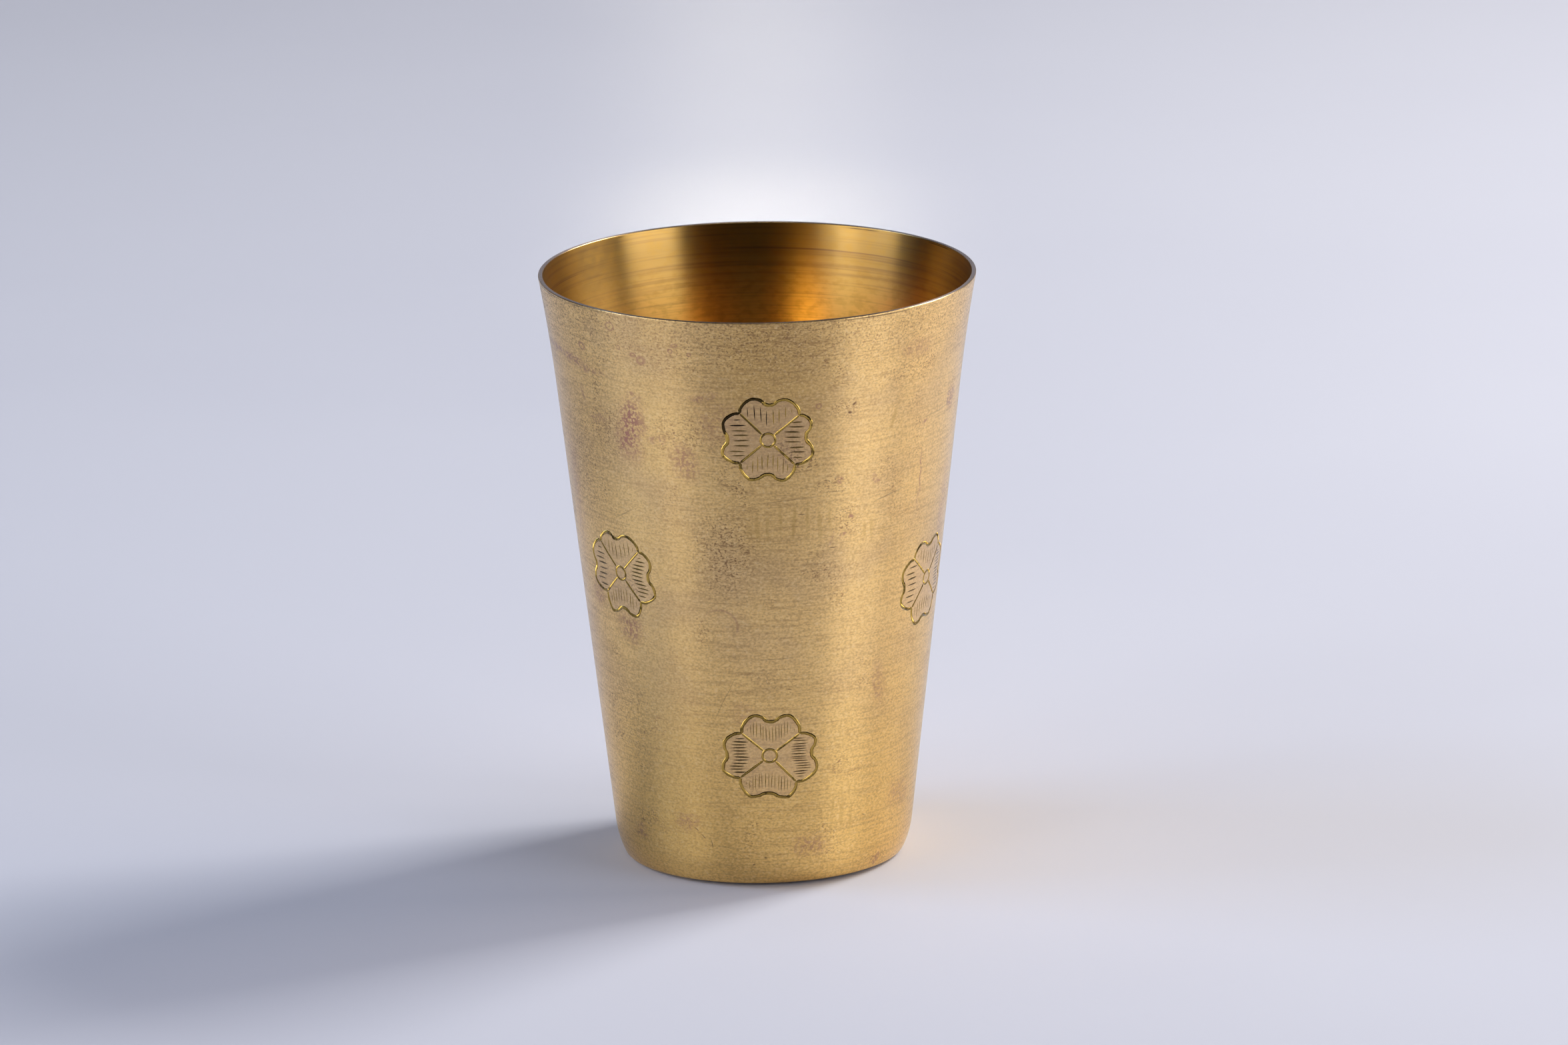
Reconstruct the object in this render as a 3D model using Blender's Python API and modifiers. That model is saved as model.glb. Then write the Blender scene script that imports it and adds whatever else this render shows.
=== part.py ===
"""A tapered brass drinking tumbler: a thin turned wall that ends in its own standing foot, a base disc let
in above that foot, and the fillet of brazing metal that seals the disc to the wall."""

import math

import bpy

# Driving dimensions, in metres
HEIGHT = 0.1069
LIP_RADIUS = 0.0390
TAPER_FOOT_RADIUS = 0.0261
WALL = 0.0008
FLARE_START = 0.0860
FLARE_PER_METRE = 1.6
TURN_IN_START = 0.0060
TURN_IN_RADIUS = 0.0180
FOOT_EDGE_RADIUS = 0.0010
BASE_HEIGHT = 0.0030
BASE_THICKNESS = 0.0010
BASE_RISE = 0.0006
FILLET_LEG = 0.0016
JOINT_GAP = 0.0003

# How finely the curves are cut
TURN_SEGMENTS = 96
FLARE_STEPS = 6
TURN_IN_STEPS = 5
FOOT_EDGE_STEPS = 4
FILLET_STEPS = 3
BASE_STEPS = 4
SHARP_ANGLE = math.radians(30)
MERGE_DISTANCE = 0.00001

BRASS = (0.62, 0.44, 0.20, 1.0)
BRASS_ROUGHNESS = 0.32
BRAZING_METAL = (0.66, 0.52, 0.27, 1.0)
BRAZING_ROUGHNESS = 0.45


def taper_slope():
    """How much the radius grows for each metre of height on the straight stretch of the wall."""
    flare_gain = FLARE_PER_METRE * (HEIGHT - FLARE_START) ** 2
    return (LIP_RADIUS - flare_gain - TAPER_FOOT_RADIUS) / HEIGHT


def taper_radius(height):
    """The wall's outer radius anywhere above the turned-in foot."""
    above_flare = max(0.0, height - FLARE_START)
    return TAPER_FOOT_RADIUS + taper_slope() * height + FLARE_PER_METRE * above_flare**2


def turn_in_centre():
    """(radius, height) of the centre of the arc that turns the wall in towards its foot."""
    lean = math.atan(taper_slope())
    return (
        taper_radius(TURN_IN_START) - TURN_IN_RADIUS * math.cos(lean),
        TURN_IN_START + TURN_IN_RADIUS * math.sin(lean),
    )


def face_radius(height, inset):
    """The radius at this height of the face that lies `inset` inside the outer one."""
    if height < TURN_IN_START:
        centre_radius, centre_height = turn_in_centre()
        return centre_radius + math.sqrt((TURN_IN_RADIUS - inset) ** 2 - (centre_height - height) ** 2)
    slope = taper_slope() + 2 * FLARE_PER_METRE * max(0.0, height - FLARE_START)
    return taper_radius(height) - inset * math.sqrt(1 + slope**2)


def arc(centre, radius, start, end, steps):
    """Points on an arc whose angles are measured downwards from the outward direction."""
    points = []
    for step in range(steps + 1):
        angle = start + (end - start) * step / steps
        points.append((centre[0] + radius * math.cos(angle), centre[1] - radius * math.sin(angle)))
    return points


def flared_face(inset):
    """(radius, height) points down the flared top of the face that lies `inset` inside the outer one."""
    points = []
    for step in range(FLARE_STEPS + 1):
        height = HEIGHT + (FLARE_START - HEIGHT) * step / FLARE_STEPS
        points.append((face_radius(height, inset), height))
    return points


def outer_face():
    """The outer face from the lip to the foot, whose edge is rounded where it stands."""
    centre = turn_in_centre()
    reach = TURN_IN_RADIUS - FOOT_EDGE_RADIUS
    lean = math.atan(taper_slope())
    meet = math.asin((centre[1] - FOOT_EDGE_RADIUS) / reach)
    edge_centre = (centre[0] + reach * math.cos(meet), FOOT_EDGE_RADIUS)
    turned_in = arc(centre, TURN_IN_RADIUS, lean, meet, TURN_IN_STEPS)
    foot_edge = arc(edge_centre, FOOT_EDGE_RADIUS, meet, math.radians(90), FOOT_EDGE_STEPS)
    return flared_face(0.0) + turned_in + foot_edge[1:]


def inner_face():
    """The inner face from the lip down to the floor line."""
    centre = turn_in_centre()
    bend = TURN_IN_RADIUS - WALL
    lean = math.atan(taper_slope())
    return flared_face(WALL) + arc(centre, bend, lean, math.asin(centre[1] / bend), TURN_IN_STEPS)


def wall_outline():
    return outer_face() + inner_face()[::-1]


def pushed_up(edge, height):
    """Points from the axis out to the edge of a face that rises slightly in the middle."""
    points = []
    for step in range(BASE_STEPS + 1):
        outward = step / BASE_STEPS
        points.append((edge * outward, height + BASE_RISE * (1 - outward**2)))
    return points


def base_outline():
    """Half a section of the disc, with its edge cut to fit the inside of the wall."""
    top = BASE_HEIGHT + BASE_THICKNESS
    top_face = pushed_up(face_radius(top, WALL) - JOINT_GAP, top)
    underside = pushed_up(face_radius(BASE_HEIGHT, WALL) - JOINT_GAP, BASE_HEIGHT)
    return top_face + underside[::-1]


def fillet_outline():
    """The brazing metal in the corner between the disc and the wall, with a hollow face."""
    floor = BASE_HEIGHT + BASE_THICKNESS + JOINT_GAP
    corner = face_radius(floor, WALL) - JOINT_GAP
    top = floor + FILLET_LEG
    hollow = arc((corner - FILLET_LEG, top), FILLET_LEG, math.radians(90), 0.0, FILLET_STEPS)
    return [(face_radius(top, WALL) - JOINT_GAP, top), (corner, floor)] + hollow[:-1]


def collection(name):
    made = bpy.data.collections.new(name)
    bpy.context.scene.collection.children.link(made)
    return made


def metal(name, colour, roughness):
    made = bpy.data.materials.new(name)
    made.use_nodes = True
    shader = made.node_tree.nodes["Principled BSDF"]
    shader.inputs["Base Color"].default_value = colour
    shader.inputs["Metallic"].default_value = 1.0
    shader.inputs["Roughness"].default_value = roughness
    return made


def turned(name, outline, closed, material, home):
    """Spins half a section round the Z axis. A closed outline makes a ring; an open one starts on the axis."""
    mesh = bpy.data.meshes.new(name)
    points = [(radius, 0.0, height) for radius, height in outline]
    edges = [(index, index + 1) for index in range(len(points) - 1)]
    if closed:
        edges.append((len(points) - 1, 0))
    mesh.from_pydata(points, edges, [])
    made = bpy.data.objects.new(name, mesh)
    home.objects.link(made)
    screw = made.modifiers.new("turning", "SCREW")
    screw.axis = "Z"
    screw.angle = math.tau
    screw.steps = TURN_SEGMENTS
    screw.render_steps = TURN_SEGMENTS
    screw.use_merge_vertices = True
    screw.merge_threshold = MERGE_DISTANCE
    solid = bpy.data.meshes.new_from_object(made.evaluated_get(bpy.context.evaluated_depsgraph_get()))
    made.modifiers.clear()
    made.data = solid
    solid.name = name
    bpy.data.meshes.remove(mesh)
    solid.materials.append(material)
    solid.shade_smooth()
    solid.set_sharp_from_angle(angle=SHARP_ANGLE)
    return made


for leftover in list(bpy.data.objects):
    bpy.data.objects.remove(leftover)

tumbler = collection("brass_tumbler")
worn_brass = metal("worn_brass", BRASS, BRASS_ROUGHNESS)
brazing_metal = metal("brazing_metal", BRAZING_METAL, BRAZING_ROUGHNESS)

turned("tumbler_wall", wall_outline(), True, worn_brass, tumbler)
turned("base_disc", base_outline(), False, worn_brass, tumbler)
turned("brazed_fillet", fillet_outline(), True, brazing_metal, tumbler)
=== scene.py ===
"""A hand-engraved brass drinking tumbler on a pale studio floor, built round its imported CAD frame.

Lengths are in metres, except on the flowers, whose outlines are in millimetres from each flower's centre.
An angle on the tumbler is measured round its axis from the side that faces the camera, -Y, towards +X.
"""

import math
import random

import bpy
import numpy as np
from mathutils import Matrix, Vector
from mathutils.geometry import delaunay_2d_cdt


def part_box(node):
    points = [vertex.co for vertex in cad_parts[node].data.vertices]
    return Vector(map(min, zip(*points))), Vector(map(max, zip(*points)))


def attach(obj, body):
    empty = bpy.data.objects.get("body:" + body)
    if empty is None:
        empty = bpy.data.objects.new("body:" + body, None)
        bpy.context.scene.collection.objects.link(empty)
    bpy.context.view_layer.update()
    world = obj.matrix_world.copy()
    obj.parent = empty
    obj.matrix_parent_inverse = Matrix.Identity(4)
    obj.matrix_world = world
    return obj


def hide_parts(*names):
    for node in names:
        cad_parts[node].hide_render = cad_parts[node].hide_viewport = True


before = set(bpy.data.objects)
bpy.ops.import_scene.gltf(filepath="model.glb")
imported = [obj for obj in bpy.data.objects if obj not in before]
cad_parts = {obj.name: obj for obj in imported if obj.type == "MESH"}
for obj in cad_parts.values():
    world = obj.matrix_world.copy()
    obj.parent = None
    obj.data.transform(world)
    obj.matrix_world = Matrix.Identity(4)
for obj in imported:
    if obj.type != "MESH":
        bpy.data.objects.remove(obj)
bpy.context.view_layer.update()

MM = 0.001
TAU = math.tau

# The wall's section
_, WALL_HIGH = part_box("tumbler_wall")
HEIGHT = WALL_HIGH.z
LIP_RADIUS = WALL_HIGH.x
TAPER_FOOT_RADIUS = 0.0261
WALL = 0.0008
FLARE_START = 0.0860
FLARE_PER_METRE = 1.6
TURN_IN_START = 0.0060
TURN_IN_RADIUS = 0.0180
FOOT_EDGE_RADIUS = 0.0010
LIP_EDGE_RADIUS = 0.00018

# The foot's edge is worn uneven, and stands clear of the table at the front
FOOT_LIFT = 0.00062
FOOT_LIFT_REACH = 0.0040
FOOT_LIFT_TURN = math.radians(14)
FOOT_LIFT_SPAN = 0.9
FOOT_LIFT_FALL = 1.5

# How finely it is cut
COLUMNS = 192
COLUMN_STEP = TAU / COLUMNS
ROW_SPACING = 0.0020
PATCH_HALF_WIDTH = 10.4
PATCH_HALF_HEIGHT = 9.6
PATCH_FILL_SPACING = 0.9

# The graver's cuts
GROOVE_SLOPE = 0.70
OUTLINE_HALF_WIDTH = 0.29
DIVIDER_HALF_WIDTH = 0.21
RING_HALF_WIDTH = 0.21
RING_RADIUS = 1.28
LEVEL_HATCH_HALF_WIDTH = 0.135
UPRIGHT_HATCH_HALF_WIDTH = 0.090
CUT_UNEVENNESS = 0.13
CUT_POINT_SPACING = 0.3
LOBE_TAPER = 0.35
NOTCH_SHIFT = 0.09
NOTCH_WIDENING = 1.12
HATCH_MARGIN = 0.75
HATCH_START = 2.4
LONGEST_HATCH = 3.1
SHORTEST_HATCH = 0.8


def placed(name, data):
    made = bpy.data.objects.new(name, data)
    bpy.context.scene.collection.objects.link(made)
    return made


def taper_slope():
    flare_gain = FLARE_PER_METRE * (HEIGHT - FLARE_START) ** 2
    return (LIP_RADIUS - flare_gain - TAPER_FOOT_RADIUS) / HEIGHT


def above_flare(height):
    return np.maximum(0.0, height - FLARE_START)


def outer_radius(height):
    return TAPER_FOOT_RADIUS + taper_slope() * height + FLARE_PER_METRE * above_flare(height) ** 2


def outer_slope(height):
    return taper_slope() + 2 * FLARE_PER_METRE * above_flare(height)


def turn_in_centre():
    lean = math.atan(taper_slope())
    return (
        outer_radius(TURN_IN_START) - TURN_IN_RADIUS * math.cos(lean),
        TURN_IN_START + TURN_IN_RADIUS * math.sin(lean),
    )


def face_row(height, inset, outward):
    """(radius, height, normal's radial part, its height part) on the face `inset` inside the outer one."""
    slope = outer_slope(height)
    length = math.sqrt(1 + slope**2)
    return (outer_radius(height) - inset * length, height, outward / length, -outward * slope / length)


def arc_rows(centre, radius, start, end, steps, outward=1):
    """Rows on an arc whose angles are measured downwards from the outward direction."""
    rows = []
    for step in range(steps + 1):
        angle = start + (end - start) * step / steps
        cos, sin = math.cos(angle), math.sin(angle)
        rows.append((centre[0] + radius * cos, centre[1] - radius * sin, outward * cos, -outward * sin))
    return rows


def wall_rows():
    """The rows of the wall's closed section: down the outer face, round the foot, up the inner face and over
    the lip. The other values are where the plain outer face, the foot and the inner face end."""
    lean = math.atan(taper_slope())
    top = HEIGHT - LIP_EDGE_RADIUS
    count = round((top - TURN_IN_START) / ROW_SPACING)
    outer = [face_row(top + (TURN_IN_START - top) * step / count, 0.0, 1) for step in range(count + 1)]

    centre = turn_in_centre()
    reach = TURN_IN_RADIUS - FOOT_EDGE_RADIUS
    meet = math.asin((centre[1] - FOOT_EDGE_RADIUS) / reach)
    edge_centre = (centre[0] + reach * math.cos(meet), FOOT_EDGE_RADIUS)
    foot = arc_rows(centre, TURN_IN_RADIUS, lean, meet, 8)[1:]
    foot += arc_rows(edge_centre, FOOT_EDGE_RADIUS, meet, math.radians(90), 5)[1:]

    bend = TURN_IN_RADIUS - WALL
    end = math.asin(centre[1] / bend)
    inner = arc_rows(centre, bend, end, lean, 8, -1)
    for step in range(1, count + 1):
        inner.append(face_row(TURN_IN_START + (top - TURN_IN_START) * step / count, WALL, -1))

    inner_edge = inner[-1][0] + LIP_EDGE_RADIUS
    outer_edge = outer[0][0] - LIP_EDGE_RADIUS
    lip = arc_rows((inner_edge, top), LIP_EDGE_RADIUS, math.radians(180), math.radians(270), 3)[1:]
    lip += arc_rows((outer_edge, top), LIP_EDGE_RADIUS, math.radians(270), math.radians(360), 3)[:-1]
    return outer + foot + inner + lip, (len(outer), len(outer + foot), len(outer + foot + inner))


# The engraved flowers

# Each flower: where it is, its four corners where the petals meet, and each petal's first lobe, notch and
# second lobe, clockwise from the upper left corner. Then the hatch lines in the top, right, bottom and left
# petals, how dirty the cuts are, and the middle of the ring.
FLOWERS = {
    "upper_front": {
        "angle": 2.3, "height": 85.1,
        "corners": [(-4.7, 5), (5.5, 4.4), (4.8, -4.7), (-4.85, -4.2)],
        "petals": [
            [(-2.3, 7.75), (0.4, 6.65), (2.9, 7.5)],
            [(7.7, 2.7), (6.9, 0.4), (8.1, -2.8)],
            [(2.7, -7.6), (0.1, -6.5), (-2.9, -7.35)],
            [(-8, -2.5), (-7.1, 0), (-7.7, 3)],
        ],
        "hatches": [8, 8, 9, 8], "hatch_soil": 0.72, "outline_soil": 0.14,
        "ring": (0.08, 0.0), "soiled": True,
    },
    "lower_front": {
        "angle": 2.0, "height": 25.5,
        "corners": [(-4.7, 4.35), (5.4, 4.1), (4.9, -5.1), (-5.2, -4.15)],
        "petals": [
            [(-2.3, 7.8), (0.3, 6.7), (3.2, 7.7)],
            [(8.35, 2.6), (7.75, 0.3), (8.75, -2.6)],
            [(3.2, -8), (-0.2, -7.2), (-3.2, -7.75)],
            [(-8.3, -2.6), (-7.55, 0.1), (-7.9, 2.2)],
        ],
        "hatches": [16, 16, 15, 12], "hatch_soil": 0.90, "outline_soil": 0.32,
        "ring": (0.13, 0.08), "soiled": False,
    },
    "middle_left": {
        "angle": -49.7, "height": 57.2,
        "corners": [(-4.9, 5.1), (5.1, 5), (4.6, -4.5), (-4.6, -4.2)],
        "petals": [
            [(-2.2, 7.35), (-0.4, 6.65), (2.5, 7.5)],
            [(7.6, 3), (6.95, 0.6), (8.15, -2.5)],
            [(3.1, -7.5), (-0.1, -6.55), (-3.2, -7.6)],
            [(-8.7, -2.5), (-7.7, 0.3), (-8.4, 2.3)],
        ],
        "hatches": [8, 11, 10, 8], "hatch_soil": 0.76, "outline_soil": 0.15,
        "ring": (0.17, 0.15), "soiled": False,
    },
    "middle_right": {
        "angle": 65.9, "height": 53.7,
        "corners": [(-5.3, 4.6), (4.9, 4.7), (5, -4.4), (-4.8, -4.6)],
        "petals": [
            [(-3, 7.1), (-0.3, 6.3), (3, 7.2)],
            [(8.2, 2.5), (7.6, -0.2), (8.4, -2.6)],
            [(3, -7.7), (0.2, -7.3), (-2.8, -8.1)],
            [(-8.5, -2.7), (-7.9, -0.4), (-8.6, 2.3)],
        ],
        "hatches": [9, 12, 9, 7], "hatch_soil": 0.76, "outline_soil": 0.20,
        "ring": (0.0, 0.0), "soiled": False,
    },
}

# The flowers on the side that faces away repeat those four, turned round the wall
HIDDEN_FLOWERS = {
    "upper_left": ("lower_front", -118.0, 84.2),
    "lower_left": ("middle_left", -117.0, 26.4),
    "upper_right": ("middle_right", 124.0, 85.6),
    "lower_right": ("upper_front", 122.5, 24.9),
    "middle_back": ("lower_front", -176.5, 55.6),
}


def spline(points, per_span):
    """A smooth curve through the points (Catmull-Rom), with `per_span` pieces between each pair."""
    points = np.array(points, float)
    padded = np.vstack([2 * points[0] - points[1], points, 2 * points[-1] - points[-2]])
    curve = []
    for a, b, c, d in zip(padded, padded[1:], padded[2:], padded[3:]):
        for t in np.arange(per_span) / per_span:
            square, cube = 2 * a - 5 * b + 4 * c - d, 3 * b - a - 3 * c + d
            curve.append(0.5 * (2 * b + (c - a) * t + square * t**2 + cube * t**3))
    curve.append(points[-1])
    return np.array(curve)


def lobe_points(corner, peak, notch, across, outward):
    """One side of a petal's outline, from its corner over the lobe and down into the notch."""
    def local(point):
        return np.array([np.dot(point, across), np.dot(point, outward)])

    start, top, dip = local(corner), local(peak), local(notch)
    rise = top - start
    side = [
        start,
        start + rise * (0.02, 0.33),
        start + rise * (0.30, 0.68),
        start + rise * (0.66, 0.92),
        top,
        top + (dip - top) * (0.40, 0.24),
        top + (dip - top) * (0.76, 0.90),
    ]
    return [across * u + outward * v for u, v in side]


class Stroke:
    """One cut: its centre line, and its half width and dirt at each point."""

    def __init__(self, points, half_width, taper=0.5, soil=0.0, draw=None, closed=False):
        self.points = np.asarray(points, float)
        self.closed = closed
        steps = np.linalg.norm(np.diff(self.points, axis=0), axis=1)
        along = np.concatenate([[0.0], np.cumsum(steps)])
        self.length = along[-1]
        width = np.full(len(along), half_width)
        if draw is not None:
            width *= 1 + CUT_UNEVENNESS * np.array([draw.uniform(-1, 1) for _ in along])
        if not closed:
            nearest_end = np.minimum(along, self.length - along)
            width *= np.sqrt(np.clip(nearest_end / taper, 0, 1))
            width[0] = width[-1] = 0.0
        self.width = width
        self.soil = soil
        tangent = np.gradient(self.points, axis=0)
        if closed:
            tangent[0] = tangent[-1] = self.points[1] - self.points[-2]
        self.tangent = tangent / np.linalg.norm(tangent, axis=1)[:, None]

    def sides(self):
        across = np.stack([-self.tangent[:, 1], self.tangent[:, 0]], 1) * self.width[:, None]
        return self.points + across, self.points - across


def resample(points, spacing):
    """The same line with points this far apart."""
    points = np.asarray(points, float)
    along = np.concatenate([[0.0], np.cumsum(np.linalg.norm(np.diff(points, axis=0), axis=1))])
    count = max(2, int(round(along[-1] / spacing)) + 1)
    at = np.linspace(0, along[-1], count)
    return np.stack([np.interp(at, along, points[:, 0]), np.interp(at, along, points[:, 1])], 1)


def petal_axes(petal):
    """The directions across a petal and out along it."""
    x, y = [(0, 1), (1, 0), (0, -1), (-1, 0)][petal]
    return np.array((y, -x), float), np.array((x, y), float)


def petal_strokes(flower, petal, draw):
    """The outline of one petal: a cut round each lobe and a third, a little wider, through the notch."""
    across, outward = petal_axes(petal)
    first, second = flower["corners"][petal], flower["corners"][(petal + 1) % 4]
    peak_a, notch, peak_b = flower["petals"][petal]
    side_a = lobe_points(first, peak_a, notch, across, outward)
    side_b = lobe_points(second, peak_b, notch, across, outward)
    curve = spline(side_a + [np.array(notch)] + side_b[::-1], 8)
    lobe_end, notch_start = 46, 41
    plain = flower["outline_soil"]
    soil_a = 0.9 if flower["soiled"] and petal == 0 else plain
    soil_b = 0.95 if flower["soiled"] and petal == 3 else plain
    line_a = resample(curve[: lobe_end + 1], CUT_POINT_SPACING)
    line_b = resample(curve[-lobe_end - 1 :], CUT_POINT_SPACING)
    low = resample(curve[notch_start : len(curve) - notch_start] - NOTCH_SHIFT * outward, CUT_POINT_SPACING)
    lobe_a = Stroke(line_a, OUTLINE_HALF_WIDTH, LOBE_TAPER, soil_a, draw)
    lobe_b = Stroke(line_b, OUTLINE_HALF_WIDTH, LOBE_TAPER, soil_b, draw)
    dip = Stroke(low, OUTLINE_HALF_WIDTH * NOTCH_WIDENING, 0.5, plain, draw)
    return [lobe_a, dip, lobe_b], curve


def hatch_strokes(flower, petal, curve, draw):
    """Short parallel ticks across the petal, upright in the top and bottom ones and level at the sides."""
    count = flower["hatches"][petal]
    level = petal % 2
    _, outward = petal_axes(petal)
    first, second = flower["corners"][petal], flower["corners"][(petal + 1) % 4]
    low, high = sorted((first[level], second[level]))
    low, high = low + HATCH_MARGIN, high - HATCH_MARGIN
    outline_at = curve[:, level]
    reach = curve @ outward
    strokes = []
    for index in range(count):
        at = low + (high - low) * (index + 0.5) / count + draw.uniform(-0.06, 0.06)
        edge = np.min(reach[np.abs(outline_at - at) < 0.5])
        far = edge - draw.uniform(0.8, 1.1)
        past_divider, start = abs(at) + draw.uniform(0.7, 1.0), HATCH_START + draw.uniform(-0.3, 0.3)
        near = max(past_divider, start, far - LONGEST_HATCH)
        if far - near < SHORTEST_HATCH:
            near = far - SHORTEST_HATCH
        slant = draw.uniform(-0.02, 0.06)
        along = np.linspace(near, far, 6)
        sideways = at + slant * (far - along)
        parts = (sideways, along * outward[1]) if level == 0 else (along * outward[0], sideways)
        soil = flower["hatch_soil"] * (draw.uniform(0.85, 1.1) if level else draw.uniform(0.5, 0.8))
        if flower["soiled"] and ((petal == 0 and index < 4) or (petal == 3 and index > count - 3)):
            soil = 1.0
        half_width = (LEVEL_HATCH_HALF_WIDTH if level else UPRIGHT_HATCH_HALF_WIDTH) * draw.uniform(0.8, 1.2)
        half_width *= min(1.0, 11 / count)
        strokes.append(Stroke(np.stack(parts, 1), half_width, 1.2, soil))
    return strokes


def flower_strokes(flower, draw):
    """Every cut of one flower, in millimetres from its centre, and the line round all its petals."""
    strokes, border = [], []
    for petal in range(4):
        outline, curve = petal_strokes(flower, petal, draw)
        strokes += outline + hatch_strokes(flower, petal, curve, draw)
        border.append(curve)
    ring_centre = np.array(flower["ring"])
    for number, corner in enumerate(flower["corners"]):
        outward = np.array(corner) - ring_centre
        outward /= np.linalg.norm(outward)
        start = ring_centre + outward * (RING_RADIUS + 0.05)
        soil = 0.8 if flower["soiled"] and number == 0 else flower["outline_soil"]
        line = resample([start, np.array(corner) + outward * 0.15], 0.5)
        strokes.append(Stroke(line, DIVIDER_HALF_WIDTH, 0.4, soil, draw))
    turn = np.linspace(0, TAU, 41)
    ring = ring_centre + RING_RADIUS * np.stack([np.cos(turn), 0.98 * np.sin(turn)], 1)
    strokes.append(Stroke(ring, RING_HALF_WIDTH, soil=flower["outline_soil"], closed=True))
    return strokes, np.vstack(border)


def inside_loop(points, loop):
    """Which of the points lie inside the closed line (by counting the crossings to their right)."""
    start, end = loop, np.roll(loop, -1, axis=0)
    x, y = points[:, :1], points[:, 1:]
    spans = (start[None, :, 1] > y) != (end[None, :, 1] > y)
    rise = end[:, 1] - start[:, 1]
    rise = np.where(rise == 0.0, 1.0, rise)
    crossing = start[:, 0] + (y - start[:, 1]) * (end[:, 0] - start[:, 0]) / rise
    return (spans & (crossing > x)).sum(1) % 2 == 1


class Cuts:
    """All strokes of one flower as arrays, to ask how deep the surface is cut at any point."""

    def __init__(self, strokes):
        self.start = np.vstack([s.points[:-1] for s in strokes])
        self.step = np.vstack([np.diff(s.points, axis=0) for s in strokes])
        self.width = np.concatenate([np.stack([s.width[:-1], s.width[1:]], 1) for s in strokes])
        self.tangent = np.concatenate([np.stack([s.tangent[:-1], s.tangent[1:]], 1) for s in strokes])
        self.soil = np.concatenate([np.full(len(s.points) - 1, s.soil) for s in strokes])
        self.reach2 = np.maximum((self.step**2).sum(1), 1e-12)

    def nearest(self, points):
        """(depth, segment, place along it) of the deepest cut at each point. Depth is negative outside."""
        offset = points[:, None, :] - self.start[None]
        along = np.clip((offset * self.step[None]).sum(2) / self.reach2, 0, 1)
        gap = np.linalg.norm(offset - along[..., None] * self.step[None], axis=2)
        width = self.width[:, 0] + (self.width[:, 1] - self.width[:, 0]) * along
        depth = GROOVE_SLOPE * (width - gap)
        best = depth.argmax(1)
        rows = np.arange(len(points))
        return depth[rows, best], best, along[rows, best]

    def across(self, segment, along):
        """The direction square to the cut, to its left."""
        tangent = self.tangent[segment, 0] * (1 - along)[:, None] + self.tangent[segment, 1] * along[:, None]
        tangent /= np.linalg.norm(tangent, axis=1)[:, None]
        return np.stack([-tangent[:, 1], tangent[:, 0]], 1)

    def side(self, points, segment):
        offset = points - self.start[segment]
        step = self.step[segment]
        return np.sign(step[:, 0] * offset[:, 1] - step[:, 1] * offset[:, 0])


def cut_patch(border, strokes, fill):
    """Triangles of a flat patch whose border points are given, with every edge of every cut in it.
    Returns the points, the triangles, and each border point's place among the points."""
    coords = [tuple(p) for p in border]
    edges = [(i, (i + 1) % len(border)) for i in range(len(border))]

    def chain(points, closed=False):
        first = len(coords)
        coords.extend(tuple(p) for p in points)
        edges.extend((first + i, first + i + 1) for i in range(len(points) - 1))
        if closed:
            edges.append((first + len(points) - 1, first))

    for stroke in strokes:
        left, right = stroke.sides()
        last = -1 if stroke.closed else None
        for line in (left[:last], stroke.points[:last], right[:last]):
            chain(line, stroke.closed)
    coords.extend(tuple(p) for p in fill)
    made = delaunay_2d_cdt([Vector(c) for c in coords], edges, [], 0, 1e-5, True)
    points = np.array([tuple(p) for p in made[0]])
    place = {}
    for new, old in enumerate(made[3]):
        for index in old:
            if index < len(border):
                place[index] = new
    return points, made[2], [place[i] for i in range(len(border))]


def on_wall(angle, height, depth=0.0):
    """Points on the outer face, or `depth` under it, and the face's normals there. Angles are in radians."""
    radius, slope = outer_radius(height), outer_slope(height)
    length = np.sqrt(1 + slope**2)
    normal = np.stack([np.sin(angle) / length, -np.cos(angle) / length, -slope / length], -1)
    point = np.stack([radius * np.sin(angle), -radius * np.cos(angle), height], -1)
    return point - normal * np.asarray(depth)[..., None], normal


class MeshParts:
    """Collects vertices and faces, with a normal at each corner and three numbers and a slot on each face."""

    def __init__(self):
        self.points, self.faces, self.normals, self.marks, self.slots = [], [], [], [], []

    def add_points(self, points):
        first = len(self.points)
        self.points.extend(map(tuple, points))
        return first

    def add_ring(self, radius, height):
        """A ring of points round the axis, at one height or with a height for each column."""
        turns = np.arange(COLUMNS) * COLUMN_STEP
        height = np.full(COLUMNS, height)
        first = self.add_points(np.stack([radius * np.sin(turns), -radius * np.cos(turns), height], 1))
        return list(range(first, first + COLUMNS))

    def add_face(self, corners, normals, engraved=0.0, soil=0.0, petal=0.0, slot=0):
        self.faces.append(tuple(corners))
        self.normals.extend(map(tuple, normals))
        self.slots.append(slot)
        self.marks.append((engraved, soil, petal))

    def build(self, name):
        used = sorted({index for face in self.faces for index in face})
        place = {old: new for new, old in enumerate(used)}
        faces = [tuple(place[index] for index in face) for face in self.faces]
        mesh = bpy.data.meshes.new(name)
        mesh.from_pydata([self.points[index] for index in used], [], faces)
        for label, values in zip(("engraved", "soil", "petal"), zip(*self.marks)):
            mesh.attributes.new(label, "FLOAT", "FACE").data.foreach_set("value", values)
        mesh.polygons.foreach_set("material_index", self.slots)
        mesh.shade_smooth()
        mesh.normals_split_custom_set(self.normals)
        return placed(name, mesh)


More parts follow.
